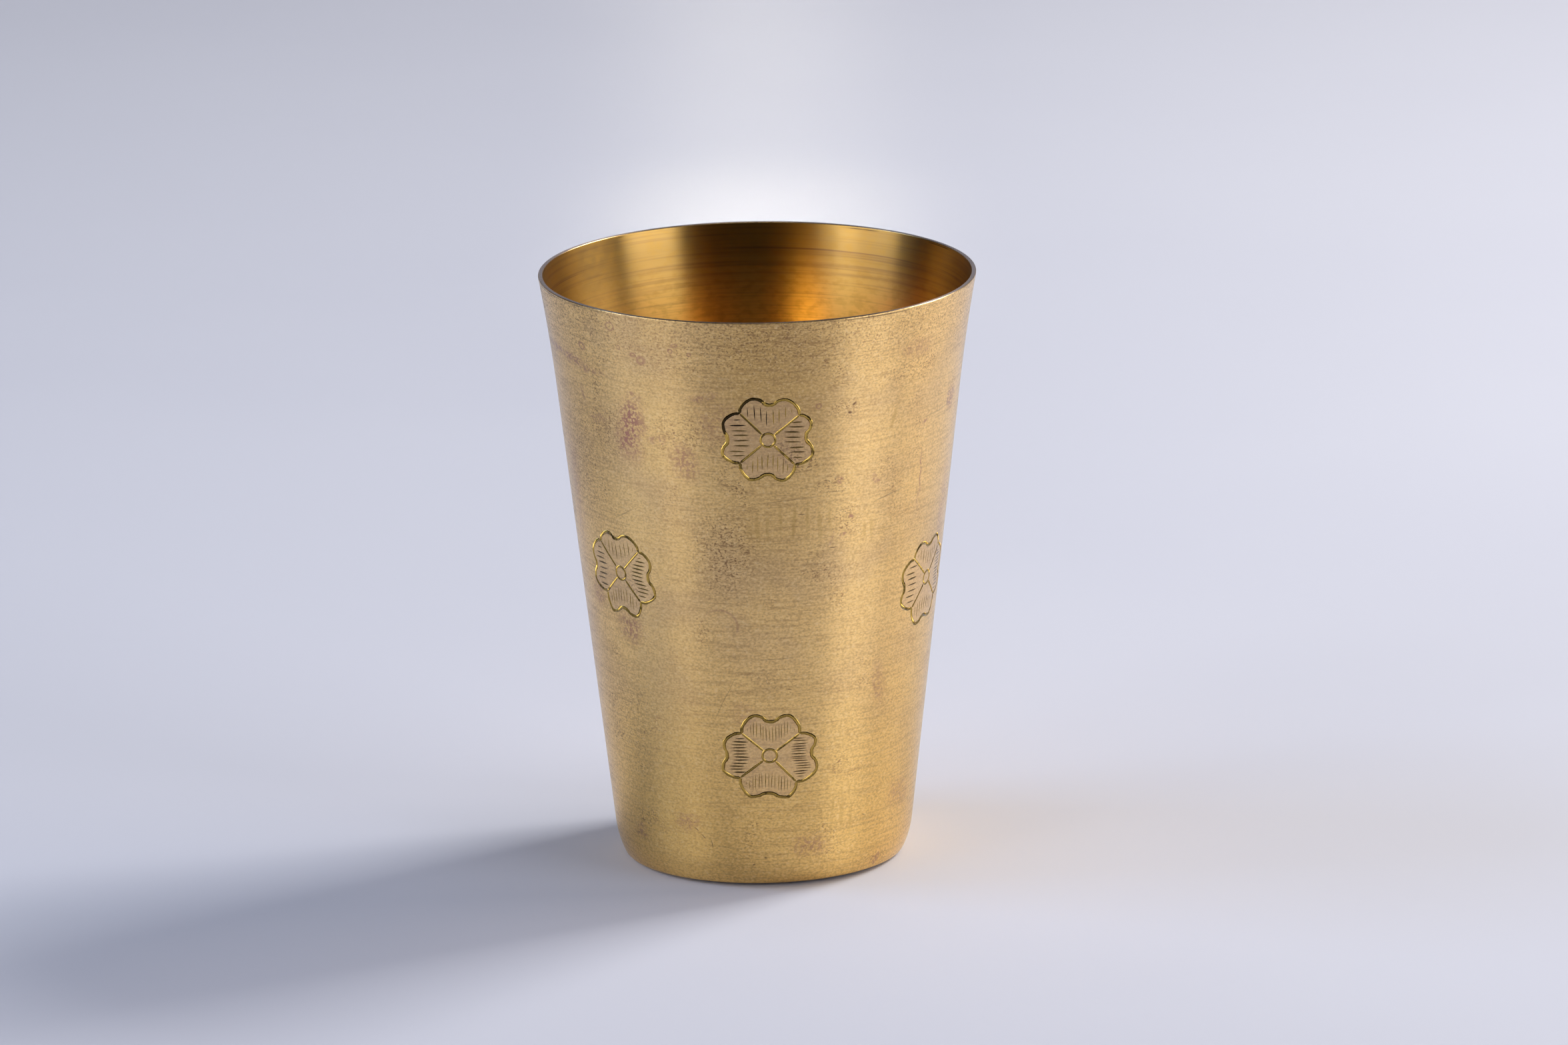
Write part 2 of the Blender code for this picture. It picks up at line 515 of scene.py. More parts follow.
def add_flower(parts, grid, rows, flower, angle, height, draw):
    """Fills the grid's cells round one flower with its engraved patch, and returns those cells."""
    centre_radius = outer_radius(height)
    lean = math.cos(math.atan(outer_slope(height)))
    half_turn = PATCH_HALF_WIDTH * MM / centre_radius
    left = math.floor((angle - half_turn) / COLUMN_STEP)
    right = math.ceil((angle + half_turn) / COLUMN_STEP)
    tops = [i for i, row in enumerate(rows) if row[1] >= height + PATCH_HALF_HEIGHT * MM]
    bottoms = [i for i, row in enumerate(rows) if row[1] <= height - PATCH_HALF_HEIGHT * MM]
    top, bottom = (max(tops) if tops else 0), min(bottoms)

    def flat(column, row):
        return ((column * COLUMN_STEP - angle) * centre_radius / MM, (rows[row][1] - height) / lean / MM)

    loop = [(column, bottom) for column in range(left, right)]
    loop += [(right, row) for row in range(bottom, top, -1)]
    loop += [(column, top) for column in range(right, left, -1)]
    loop += [(left, row) for row in range(top, bottom)]
    border = [flat(column, row) for column, row in loop]

    strokes, petal_border = flower_strokes(flower, draw)
    cuts = Cuts(strokes)
    (low_u, low_v), (high_u, high_v) = flat(left, bottom), flat(right, top)
    fill = [
        (u + draw.uniform(-0.1, 0.1), v + draw.uniform(-0.1, 0.1))
        for u in np.arange(low_u + 0.8, high_u - 0.5, PATCH_FILL_SPACING)
        for v in np.arange(low_v + 0.8, high_v - 0.5, PATCH_FILL_SPACING)
    ]
    clearance, _, _ = cuts.nearest(np.array(fill))
    fill = [point for point, depth in zip(fill, clearance) if depth < -GROOVE_SLOPE * 0.12]
    points, triangles, places = cut_patch(border, strokes, fill)

    depth, _, _ = cuts.nearest(points)
    depth = np.maximum(depth, 0.0)
    angles = angle + points[:, 0] * MM / centre_radius
    heights = height + points[:, 1] * MM * lean
    world, normals = on_wall(angles, heights, depth * MM)
    first = parts.add_points(world)
    index_of = {i: first + i for i in range(len(points))}
    for (column, row), place in zip(loop, places):
        index_of[place] = grid[row][column % COLUMNS]

    triangles = np.array(triangles)
    corners = points[triangles]
    turned = np.cross(corners[:, 1] - corners[:, 0], corners[:, 2] - corners[:, 0])
    triangles[turned < 0] = triangles[turned < 0][:, ::-1]
    centres = points[triangles].mean(1)
    centre_depth, segment, _ = cuts.nearest(centres)
    sides = cuts.side(centres, segment)
    in_petal = inside_loop(centres, petal_border)
    turn = np.stack([np.cos(angles), np.sin(angles), np.zeros_like(angles)], 1)
    climb = np.cross(normals, turn) * -1
    for index, triangle in enumerate(triangles):
        corner_normals = normals[triangle]
        inside = centre_depth[index] > 0.002
        if inside:
            start = cuts.start[segment[index]]
            offset = points[triangle] - start
            along = np.clip(offset @ cuts.step[segment[index]] / cuts.reach2[segment[index]], 0, 1)
            across = cuts.across(np.full(3, segment[index]), along) * sides[index]
            tilt = across[:, :1] * turn[triangle] + across[:, 1:] * climb[triangle]
            width = cuts.width[segment[index]]
            full_depth = GROOVE_SLOPE * np.maximum(width[0] + (width[1] - width[0]) * along, 0.01)
            steepness = GROOVE_SLOPE * (1.7 - 1.5 * np.clip(depth[triangle] / full_depth, 0, 1))
            corner_normals = corner_normals - steepness[:, None] * tilt
            corner_normals /= np.linalg.norm(corner_normals, axis=1)[:, None]
        soil = cuts.soil[segment[index]] if inside else 0.0
        marks = float(inside), float(soil), float(in_petal[index])
        parts.add_face([index_of[i] for i in triangle], corner_normals, *marks)
    return {(column % COLUMNS, row) for column in range(left, right) for row in range(top, bottom)}


def foot_lift():
    """How far the foot's edge is lifted at each column: most near the front, and not at all behind."""
    turns = np.mod(np.arange(COLUMNS) * COLUMN_STEP - FOOT_LIFT_TURN + math.pi, TAU) - math.pi
    return FOOT_LIFT * np.maximum(0.0, np.cos(FOOT_LIFT_SPAN * turns)) ** FOOT_LIFT_FALL


def build_wall():
    """The whole wall as one closed surface, with the flowers cut into its outer face."""
    rows, (outer_count, outside_count, inside_count) = wall_rows()
    parts = MeshParts()
    lift = foot_lift()
    grid = []
    for radius, height, _, _ in rows:
        grid.append(parts.add_ring(radius, height + lift * max(0.0, 1 - height / FOOT_LIFT_REACH) ** 2))

    draw = random.Random(7)
    engraved_cells = set()
    outer = rows[:outer_count]
    for flower in FLOWERS.values():
        place = (math.radians(flower["angle"]), flower["height"] * MM)
        engraved_cells |= add_flower(parts, grid, outer, flower, *place, draw)
    for source, angle, height in HIDDEN_FLOWERS.values():
        flower = dict(FLOWERS[source], soiled=False)
        engraved_cells |= add_flower(parts, grid, outer, flower, math.radians(angle), height * MM, draw)

    def normal(row, column):
        _, _, out, up = rows[row]
        return (out * math.sin(column * COLUMN_STEP), -out * math.cos(column * COLUMN_STEP), up)

    for row in range(len(rows)):
        below = (row + 1) % len(rows)
        for column in range(COLUMNS):
            if (column, row) in engraved_cells:
                continue
            after = (column + 1) % COLUMNS
            corners = [(below, column), (below, after), (row, after), (row, column)]
            flat_floor = rows[row][1] == 0.0 and rows[below][1] == 0.0
            normals = [(0.0, 0.0, -1.0)] * 4 if flat_floor else [normal(r, c) for r, c in corners]
            slot = int(outside_count <= row < inside_count)
            parts.add_face([grid[r][c] for r, c in corners], normals, slot=slot)
    return parts.build("engraved_wall")


def turned_piece(name, rows, closed):
    """A piece turned from (radius, height) rows. An open section starts and ends on the axis."""
    parts = MeshParts()
    grid = []
    for radius, height in rows:
        if radius == 0.0:
            centre = parts.add_points([(0.0, 0.0, height)])
            grid.append([centre] * COLUMNS)
            continue
        grid.append(parts.add_ring(radius, height))
    pairs = [(row, (row + 1) % len(rows)) for row in range(len(rows) if closed else len(rows) - 1)]
    mesh_faces = []
    for above, below in pairs:
        for column in range(COLUMNS):
            after = (column + 1) % COLUMNS
            corners = [grid[below][column], grid[below][after], grid[above][after], grid[above][column]]
            mesh_faces.append(tuple(dict.fromkeys(corners)))
    mesh = bpy.data.meshes.new(name)
    mesh.from_pydata(parts.points, [], mesh_faces)
    mesh.shade_smooth()
    mesh.set_sharp_from_angle(angle=math.radians(35))
    return placed(name, mesh)


# The base, let in above the foot
BASE_LOW, BASE_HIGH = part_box("base_disc")
_, FILLET_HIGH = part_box("brazed_fillet")
BASE_THICKNESS = 0.0010
BASE_RISE = BASE_HIGH.z - BASE_LOW.z - BASE_THICKNESS
TURNING_PITCH = 0.0007
TURNING_DEPTH = 0.000018
SEAM_OVERLAP = 0.0001
SEAM_LUMP_RISE = 0.35
SEAM_LUMP_SPREAD = 0.006


def inner_radius(height):
    centre = turn_in_centre()
    if height < TURN_IN_START:
        return centre[0] + math.sqrt((TURN_IN_RADIUS - WALL) ** 2 - (centre[1] - height) ** 2)
    return outer_radius(height) - WALL * math.sqrt(1 + outer_slope(height) ** 2)


def base_face(edge, height):
    """(radius, height) points from the axis out to the edge, with the fine ridges that turning leaves."""
    count = round(edge / TURNING_PITCH) * 2
    points = []
    for index in range(count + 1):
        outward = index / count
        ridge = TURNING_DEPTH * (index % 2) * (index < count)
        points.append((edge * outward, height + BASE_RISE * (1 - outward**2) - ridge))
    return points


def build_base():
    """The disc reaches the wall, which the CAD solid stops just short of."""
    top = BASE_LOW.z + BASE_THICKNESS
    rows = base_face(inner_radius(top), top) + base_face(inner_radius(BASE_LOW.z), BASE_LOW.z)[::-1]
    return turned_piece("turned_base", rows, False)


def build_fillet(draw):
    """The brazing metal in the corner, lumpy as it flowed."""
    floor = BASE_LOW.z + BASE_THICKNESS
    leg = FILLET_HIGH.z - floor
    corner = inner_radius(floor)
    steps = 8
    hollow = [
        (corner - leg + leg * math.sin(angle), floor + leg - leg * math.cos(angle))
        for angle in (math.radians(90) * step / steps for step in range(steps + 1))
    ]
    under = floor - SEAM_OVERLAP
    top = (inner_radius(floor + leg) + SEAM_OVERLAP, floor + leg)
    rows = [top, (corner + SEAM_OVERLAP, under), (corner - leg, under)]
    made = turned_piece("brazed_seam", rows + hollow, True)
    waves = [(draw.randint(5, 40), draw.uniform(0, TAU)) for _ in range(9)]
    for vertex in made.data.vertices:
        x, y, z = vertex.co
        if z < floor:
            continue
        angle = math.atan2(x, -y)
        lump = sum(math.sin(count * angle + phase) for count, phase in waves) / len(waves)
        inward = 1 - SEAM_LUMP_SPREAD * lump * (z - floor) / leg
        vertex.co = (x * inward, y * inward, floor + (z - floor) * (1 + SEAM_LUMP_RISE * lump))
    return made


# The camera, floor and lights

CAMERA_PLACE = Vector((0.0, -1.5168, 0.4718))
CAMERA_TURN = 0.0028
CAMERA_DIP = 0.2648
CAMERA_ROLL = -0.0121
CAMERA_LENS_MM = 201.35
SENSOR_MM = 36.0


def build_camera():
    """A long lens, a little above the lip, rolled very slightly."""
    data = bpy.data.cameras.new("camera")
    data.lens = CAMERA_LENS_MM
    data.sensor_width = SENSOR_MM
    data.clip_start = 0.05
    made = placed("camera", data)
    level = math.cos(CAMERA_DIP)
    forward = Vector((math.sin(CAMERA_TURN) * level, math.cos(CAMERA_TURN) * level, -math.sin(CAMERA_DIP)))
    level_right = forward.cross(Vector((0, 0, 1))).normalized()
    level_up = level_right.cross(forward)
    right = level_right * math.cos(CAMERA_ROLL) + level_up * math.sin(CAMERA_ROLL)
    up = level_up * math.cos(CAMERA_ROLL) - level_right * math.sin(CAMERA_ROLL)
    axes = Matrix((right, up, -forward)).transposed()
    made.matrix_world = Matrix.Translation(CAMERA_PLACE) @ axes.to_4x4()
    bpy.context.scene.camera = made


def build_floor(material):
    """A pale sheet on the table that sweeps up far behind the tumbler."""
    half_width, front, back, rise, bend = 3.0, -2.6, 1.2, 2.6, 0.8
    profile = [(front, 0.0), (back, 0.0)]
    for angle in np.linspace(0.1, math.radians(90), 12):
        profile.append((back + bend * math.sin(angle), bend - bend * math.cos(angle)))
    profile.append((back + bend, rise))
    points = [(side * half_width, y, z) for y, z in profile for side in (-1, 1)]
    faces = [(2 * i, 2 * i + 1, 2 * i + 3, 2 * i + 2) for i in range(len(profile) - 1)]
    mesh = bpy.data.meshes.new("floor")
    mesh.from_pydata(points, [], faces)
    mesh.materials.append(material)
    mesh.shade_smooth()
    made = placed("floor", mesh)
    return made


class Shading:
    """Short calls that add nodes to a new material and join them. Places are the object's, in metres."""

    def __init__(self, name, metallic=1.0):
        self.material = bpy.data.materials.new(name)
        self.material.use_nodes = True
        self.tree = self.material.node_tree
        self.shader = self.tree.nodes["Principled BSDF"]
        self.shader.inputs["Metallic"].default_value = metallic
        self.place = self.node("ShaderNodeTexCoord").outputs["Object"]
        self.across, self.away, self.height = self.node("ShaderNodeSeparateXYZ", {0: self.place}).outputs

    def node(self, kind, inputs=None, **settings):
        made = self.tree.nodes.new(kind)
        for key, value in settings.items():
            setattr(made, key, value)
        for socket, value in (inputs or {}).items():
            self.join(value, made.inputs[socket])
        return made

    def join(self, value, socket):
        if isinstance(value, bpy.types.NodeSocket):
            self.tree.links.new(value, socket)
        elif socket.type == "RGBA":
            socket.default_value = (*value, 1.0)
        else:
            socket.default_value = value

    def math(self, operation, *values):
        return self.node("ShaderNodeMath", dict(enumerate(values)), operation=operation).outputs[0]

    def noise(self, scale, detail=2.0, shift=0.0):
        """Noise from 0 to 1. The scale is in cycles per millimetre, on each axis."""
        scale = tuple(value / MM for value in scale)
        inputs = {0: self.place, "Location": (shift, shift, shift), "Scale": scale}
        at = self.node("ShaderNodeMapping", inputs).outputs[0]
        return self.node("ShaderNodeTexNoise", {0: at, "Scale": 1.0, "Detail": detail}).outputs[0]

    def step(self, value, low, high):
        """0 before `low`, 1 past `high`, and smooth between."""
        inputs = {"Value": value, "From Min": low, "From Max": high}
        return self.node("ShaderNodeMapRange", inputs, interpolation_type="SMOOTHSTEP").outputs[0]

    def over(self, below, factor, above, share=1.0):
        """One colour over another, where `factor` says, and never by more than `share`."""
        if share < 1.0:
            factor = self.math("MULTIPLY", factor, share)
        return self.node("ShaderNodeMix", {0: factor, 6: below, 7: above}, data_type="RGBA").outputs[2]

    def attribute(self, name):
        return self.node("ShaderNodeAttribute", attribute_name=name).outputs["Fac"]

    def unrolled(self, wobble):
        """Millimetres round the wall from its front, and up it, made uneven by `wobble`, for the marks."""
        turn = self.math("ARCTAN2", self.across, self.math("MULTIPLY", self.away, -1.0))
        around, up = self.math("MULTIPLY", turn, MARK_RADIUS_MM), self.math("DIVIDE", self.height, MM)
        flat = self.node("ShaderNodeCombineXYZ", {0: around, 1: up}).outputs[0]
        grain = self.node("ShaderNodeTexNoise", {0: self.place, "Scale": WOBBLE_SCALE, "Detail": 3.0})
        centred = self.vector("SUBTRACT", grain.outputs["Color"], (0.5, 0.5, 0.5))
        return self.vector("MULTIPLY_ADD", centred, (wobble, wobble, 0.0), flat)

    def vector(self, operation, *values, output="Vector"):
        return self.node("ShaderNodeVectorMath", dict(enumerate(values)), operation=operation).outputs[output]

    def length(self, value):
        return self.vector("LENGTH", value, output="Value")

    def distance(self, plane, mark):
        """How far a place is from the middle of a mark, as a share of the mark's half size."""
        angle, height, half_width, half_height, turn = mark
        around = math.radians(angle) * MARK_RADIUS_MM
        if turn == 0:
            shrink = (1 / half_width, 1 / half_height, 0.0)
            shift = (-around * shrink[0], -height * shrink[1], 0.0)
            return self.length(self.vector("MULTIPLY_ADD", plane, shrink, shift))
        offset = self.vector("SUBTRACT", plane, (around, height, 0.0))
        cos, sin = math.cos(math.radians(turn)), math.sin(math.radians(turn))
        ahead, aside = (cos / half_width, sin / half_width, 0.0), (-sin / half_height, cos / half_height, 0.0)
        along = self.vector("DOT_PRODUCT", offset, ahead, output="Value")
        beside = self.vector("DOT_PRODUCT", offset, aside, output="Value")
        return self.length(self.node("ShaderNodeCombineXYZ", {0: along, 1: beside}).outputs[0])

    def marks(self, plane, marks):
        """How strongly the marks show, from 0 to 1, with soft edges."""
        total = 0.0
        for *mark, strength in marks:
            inside = self.math("MULTIPLY", self.step(self.distance(plane, mark), 1.3, 0.3), strength)
            total = self.math("MAXIMUM", total, inside)
        return total

    def rings(self, plane, marks):
        """1 on the edges of the marks."""
        total = 0.0
        for *mark, width in marks:
            from_edge = self.math("ABSOLUTE", self.math("SUBTRACT", self.distance(plane, mark), 1.0))
            total = self.math("MAXIMUM", total, self.step(from_edge, width, width / 8))
        return total

    def brush(self, anisotropy):
        """Spreads the gloss up and down, across the fine level lines that turning leaves."""
        self.shader.inputs["Anisotropic"].default_value = anisotropy
        self.shader.inputs["Anisotropic Rotation"].default_value = 0.25
        tangent = self.node("ShaderNodeTangent", direction_type="RADIAL", axis="Z").outputs[0]
        self.join(tangent, self.shader.inputs["Tangent"])

    def finish(self, colour, roughness, height, depth):
        """Joins up the shader. `height` is the bumps' height, and `depth` how high 1 of it is, in metres."""
        self.join(colour, self.shader.inputs["Base Color"])
        self.join(roughness, self.shader.inputs["Roughness"])
        bump = self.node("ShaderNodeBump", {"Height": height, "Distance": depth, "Strength": 1.0})
        self.join(bump.outputs[0], self.shader.inputs["Normal"])
        return self.material


# Marks on the wall's front: degrees round it, then millimetres up it, half width and half
# height, degrees of turn, and strength
MARK_RADIUS_MM = 32.0
WOBBLE_SCALE = 260.0
STAINS = [
    (-39, 85.5, 3, 6.6, -8, 0.95), (-37, 92, 1.2, 0.8, -25, 0.6), (-22, 80.6, 2.6, 4.2, 20, 0.6),
    (-16, 93, 3, 1, 10, 0.55), (-12, 88, 4, 4.5, 0, 0.35), (-30, 84, 1.6, 1, 0, 0.6),
    (-47, 47, 3.4, 3, 0, 0.7), (-66, 95.8, 11, 0.8, -6, 0.75), (-64, 52, 2.4, 3, 0, 0.65),
    (-58, 90, 0.9, 2, 10, 0.5), (-52, 86, 2, 0.9, 0, 0.5), (70.5, 86.5, 2, 2.4, 0, 0.9),
    (54.8, 74.3, 0.32, 5.8, 1, 0.75), (55, 84.2, 1.2, 0.35, 15, 0.7), (24, 76.7, 0.7, 0.6, 0, 0.9),
    (38, 75.7, 0.7, 0.6, 0, 0.7), (28, 69.8, 0.5, 0.5, 0, 0.8), (25.6, 66.3, 0.7, 0.5, 20, 0.7),
    (22, 66.5, 0.3, 1.6, 0, 0.7), (-54, 8, 2.6, 1.6, 0, 0.6), (17, 8, 4.5, 2.4, 0, 0.55),
    (49, 2.5, 1.6, 1, 0, 0.7), (43, 37, 2, 5, 8, 0.4), (-30, 12, 3, 2, 0, 0.45), (60, 14, 5, 3, 0, 0.4),
    (-72, 70, 2.5, 12, 0, 0.4), (36, 76, 0.7, 0.9, 0, 0.8), (74, 66, 2, 8, 0, 0.45),
    (48, 99, 4, 2, 10, 0.4), (-6, 33, 3, 3, 0, 0.3),
]
SPECK_PATCHES = [
    (25, 90, 3, 2.2, 0, 1), (22, 76, 3.2, 1.8, 0, 0.9), (-11.5, 64, 6, 9, 0, 1), (-22, 86, 5, 4, 0, 0.9),
    (-45, 84, 7, 6, 0, 0.9), (-30, 12, 3.5, 2, 0, 0.8), (-28, 100, 12, 5, 0, 0.7), (-62, 78, 6, 14, 0, 0.7),
    (48, 95, 8, 3, 0, 0.8), (-50, 30, 9, 9, 0, 0.5), (27, 69, 3, 4, 20, 0.9),
]
# Brown patches that are partly tarnish haze and partly painted dark reflection
HAZE_AND_DARK_REFLECTION_MARKS = [(4, 96, 11, 22, 0, 0.68), (3, 72, 8, 15, 0, 0.28), (-64, 84, 10, 18, 0, 0.25)]
STREAKS = [
    (41, 86.7, 0.4, 2.6, -15, 0.9), (33, 66.6, 0.35, 1.8, 0, 0.7), (35.5, 66.9, 0.4, 2, 0, 0.7),
    (2, 69, 0.35, 3.4, 0, 0.8), (6, 70, 0.3, 3, 3, 0.8), (10, 69.5, 0.4, 3.6, -3, 0.9),
    (14, 70.5, 0.3, 3.2, 0, 0.8), (18, 69, 0.45, 3.4, 4, 0.8), (21, 70, 0.3, 2.7, 0, 0.6),
    (-1, 68.5, 0.5, 3.6, 0, 0.8), (-3, 68, 1.2, 2.4, 0, 0.5), (30, 14, 0.5, 5, 2, 0.7),
    (34, 12, 0.4, 4, 0, 0.7), (26, 13, 0.4, 4.5, -3, 0.6),
]
SCRATCHES = [
    (-26, 10.7, 0.1, 0.55, 60, 0.9), (-23.5, 9.6, 0.1, 0.7, 50, 0.9), (-20, 8.3, 0.1, 0.8, 15, 0.9),
    (0.5, 6, 0.3, 0.16, 0, 0.9), (-4, 4.6, 0.4, 0.14, 10, 0.9), (9, 38, 0.6, 0.1, -8, 0.8),
    (-52, 10.5, 0.12, 0.4, 20, 0.8), (40, 12, 0.5, 0.12, -20, 0.7), (27.4, 90.7, 0.38, 0.24, 30, 1),
    (26.2, 89.2, 0.42, 0.26, 0, 1), (41.2, 72.3, 3.6, 0.15, 13, 0.55), (22.5, 74.7, 2.6, 0.11, 3, 0.45),
    (8.5, 73.7, 5.5, 0.1, 5, 0.45), (12.3, 71, 0.75, 0.1, 0, 0.9), (22.4, 64.3, 0.75, 0.11, 0, 0.9),
    (19.5, 76.8, 0.5, 0.09, 0, 0.8), (60, 85.2, 6, 0.11, 4, 0.4), (-45, 69, 2.2, 0.1, 30, 0.5),
    (-13, 36, 6, 0.1, 62, 0.35), (5, 44, 5, 0.09, 4, 0.35),
]
# The same, but the last number is how thick the ring is, as a share of its half size
SMALL_RINGS = [
    (-42.4, 104.2, 0.75, 0.75, 0, 0.3), (-55.3, 99, 0.6, 0.6, 0, 0.6), (-33.1, 98.6, 0.6, 0.6, 0, 0.7),
    (-22.6, 102.2, 0.4, 0.3, 0, 0.6), (-23.8, 101.2, 0.35, 0.35, 0, 0.6), (-18.7, 100.7, 0.3, 0.25, 0, 0.7),
    (-40.3, 100.4, 0.3, 0.35, 0, 0.5), (-35.5, 99.5, 0.4, 0.35, 0, 0.7), (50.5, 2.9, 0.5, 0.7, 0, 0.6),
    (16.6, 91, 0.4, 0.4, 0, 0.5),
]
THUMB_RING = [(-13.6, 50.0, 3.4, 3.1, 0, 0.10)]
THUMB_RING_PART = [(-11.5, 51.3, 3.9, 3.3, 0, 1.0)]

GOLD = (0.93, 0.622, 0.246)
HAZE_AND_DARK_REFLECTION_BROWN = (0.64, 0.405, 0.135)
TAN = (0.78, 0.525, 0.235)
PIT_BROWN = (0.31, 0.17, 0.085)
PALE_GRAIN = (0.99, 0.76, 0.42)
UMBER = (0.22, 0.125, 0.068)
PURPLE_BROWN = (0.40, 0.19, 0.135)
SHEEN_PALE = (0.95, 0.90, 0.84, 1.0)
SHEEN_WEIGHT = 0.14
SHEEN_ROUGHNESS = 0.35
PETAL_PINK = (0.66, 0.45, 0.30)
FOOT_AMBER = (0.90, 0.585, 0.190)
STREAK_OCHRE = (0.54, 0.33, 0.10)
CUT_GOLD_WITH_GROOVE_SHADE = (0.62, 0.405, 0.092)
SOIL = (0.020, 0.012, 0.007)
LIP_GREY = (0.46, 0.37, 0.33)
LIP_BLACK = (0.05, 0.035, 0.025)
INNER_DEEP = (0.86, 0.55, 0.155)
INNER_RIM = (0.42, 0.262, 0.078)
INNER_AMBER = (0.47, 0.272, 0.055)
BRAZING = (0.74, 0.62, 0.40)
BRAZING_DULL = (0.38, 0.29, 0.18)
SHEET = (0.680, 0.685, 0.770)
SHEET_SHADE = (0.662, 0.667, 0.755)

# How far the bumps of each surface stand up, in metres
WALL_BUMP = 0.000007
INNER_BUMP = 0.0000015
BASE_BUMP = 0.000010
BRAZING_BUMP = 0.00004
SHEET_BUMP = 0.00001
# Where the painted dark reflection on the lip's front fades out, across the front in metres
PAINTED_LIP_REFLECTION_EDGE = (0.018, 0.032)
BURR_DROP = 0.00040
SCORE_DROP = 0.0046


def lip_colour(made, colour):
    """The lip's dull top, with a painted dark reflection across its front, and the dark broken line of burr
    just under it.
    """
    normal = made.node("ShaderNodeNewGeometry").outputs["Normal"]
    upward = made.node("ShaderNodeSeparateXYZ", {0: normal}).outputs[2]
    # Painted dark reflection: the lip's top is near black at the front and grey elsewhere
    lip = made.over(LIP_BLACK, made.step(made.math("ABSOLUTE", made.across), *PAINTED_LIP_REFLECTION_EDGE), LIP_GREY)
    lip = made.over(lip, made.step(made.away, -0.010, 0.010), LIP_GREY)
    colour = made.over(colour, made.step(upward, 0.6, 0.95), lip, 0.9)
    from_line = made.math("ABSOLUTE", made.math("SUBTRACT", made.height, HEIGHT - BURR_DROP))
    broken = made.step(made.noise((0.10, 0.10, 0.10), 2.0, 4.0), 0.50, 0.62)
    line = made.math("MULTIPLY", made.step(from_line, 0.00014, 0.00004), broken)
    return made.over(colour, line, LIP_BLACK, 0.8)


def pitting(made, plane):
    """Fine dark pits, thick near the lip and in patches."""
    top_band = made.math("MULTIPLY", made.step(made.height, 0.092, 0.104), 0.75)
    cloudy = made.step(made.noise((0.11, 0.11, 0.13), 3.0, 9.0), 0.54, 0.74)
    patch = made.math("MAXIMUM", made.math("MAXIMUM", made.marks(plane, SPECK_PATCHES), top_band), cloudy)
    round_pits = made.step(made.noise((2.5, 2.5, 3.3), 2.0, 1.0), 0.53, 0.66)
    level_pits = made.step(made.noise((0.8, 0.8, 3.2), 2.0, 2.0), 0.55, 0.70)
    pits = made.math("MAXIMUM", round_pits, made.math("MULTIPLY", level_pits, 0.7))
    return made.math("MULTIPLY", pits, made.math("MULTIPLY_ADD", patch, 0.66, 0.18))


def worn_brass():
    """The outer face: level brushing, tarnish, pits, stains, and clean cut metal darkened as painted groove
    shade.
    """
    made = Shading("worn_brass")
    made.brush(0.82)
    made.shader.inputs["Sheen Weight"].default_value = SHEEN_WEIGHT
    made.shader.inputs["Sheen Roughness"].default_value = SHEEN_ROUGHNESS
    made.shader.inputs["Sheen Tint"].default_value = SHEEN_PALE
    brushing = made.noise((0.12, 0.12, 2.6), 3.0)
    broad_brushing = made.noise((0.035, 0.035, 1.5), 3.0, 3.0)
    colour = made.over(GOLD, made.step(made.noise((0.07, 0.07, 0.07), 4.0), 0.40, 0.70), TAN)
    colour = made.over(colour, made.step(made.height, 0.052, 0.010), FOOT_AMBER)
    # Partly tarnish and partly painted dark reflection, on the front and left of the wall
    colour = made.over(colour, made.marks(made.unrolled(6.0), HAZE_AND_DARK_REFLECTION_MARKS), HAZE_AND_DARK_REFLECTION_BROWN)
    colour = made.over(colour, made.step(brushing, 0.46, 0.70), PIT_BROWN, 0.26)
    colour = made.over(colour, made.step(broad_brushing, 0.50, 0.72), PIT_BROWN, 0.10)
    grain = made.noise((2.0, 2.0, 3.0), 3.0, 15.0)
    colour = made.over(colour, made.step(grain, 0.46, 0.66), PIT_BROWN, 0.33)
    colour = made.over(colour, made.step(grain, 0.48, 0.30), PALE_GRAIN, 0.34)

    plane, steady = made.unrolled(3.2), made.unrolled(0.7)
    pits = pitting(made, plane)
    colour = made.over(colour, pits, PIT_BROWN)
    speckle = made.step(made.noise((1.7, 1.7, 1.7), 3.0, 5.0), 0.46, 0.56)
    speckle = made.math("MULTIPLY_ADD", speckle, 0.8, 0.2)
    colour = made.over(colour, made.math("MULTIPLY", made.marks(plane, STAINS), speckle), PURPLE_BROWN)
    colour = made.over(colour, made.marks(steady, STREAKS), STREAK_OCHRE, 0.50)
    colour = made.over(colour, made.marks(steady, SCRATCHES), UMBER)
    colour = made.over(colour, made.rings(steady, SMALL_RINGS), PURPLE_BROWN, 0.55)
    thumb_ring = made.math("MULTIPLY", made.rings(steady, THUMB_RING), made.marks(steady, THUMB_RING_PART))
    colour = made.over(colour, thumb_ring, PURPLE_BROWN, 0.45)

    engraved, soil = made.attribute("engraved"), made.attribute("soil")
    colour = made.over(colour, made.attribute("petal"), PETAL_PINK, 0.30)
    grime = made.math("MULTIPLY", made.step(made.noise((0.7, 0.7, 0.7), 3.0, 6.0), 0.55, 0.64), 0.75)
    # The cuts' clean gold is darkened as painted shade for light caught in the grooves; soil and grime darken
    # it further
    cut = made.over(CUT_GOLD_WITH_GROOVE_SHADE, made.math("MAXIMUM", soil, grime), SOIL)
    colour = lip_colour(made, made.over(colour, engraved, cut))

    roughness = made.math("MULTIPLY_ADD", brushing, 0.18, 0.23)
    roughness = made.math("MULTIPLY_ADD", pits, 0.20, roughness)
    roughness = made.math("MULTIPLY_ADD", engraved, -0.14, roughness)
    surface = made.math("ADD", made.math("MULTIPLY_ADD", pits, -0.8, brushing), grain)
    return made.finish(colour, roughness, surface, WALL_BUMP)


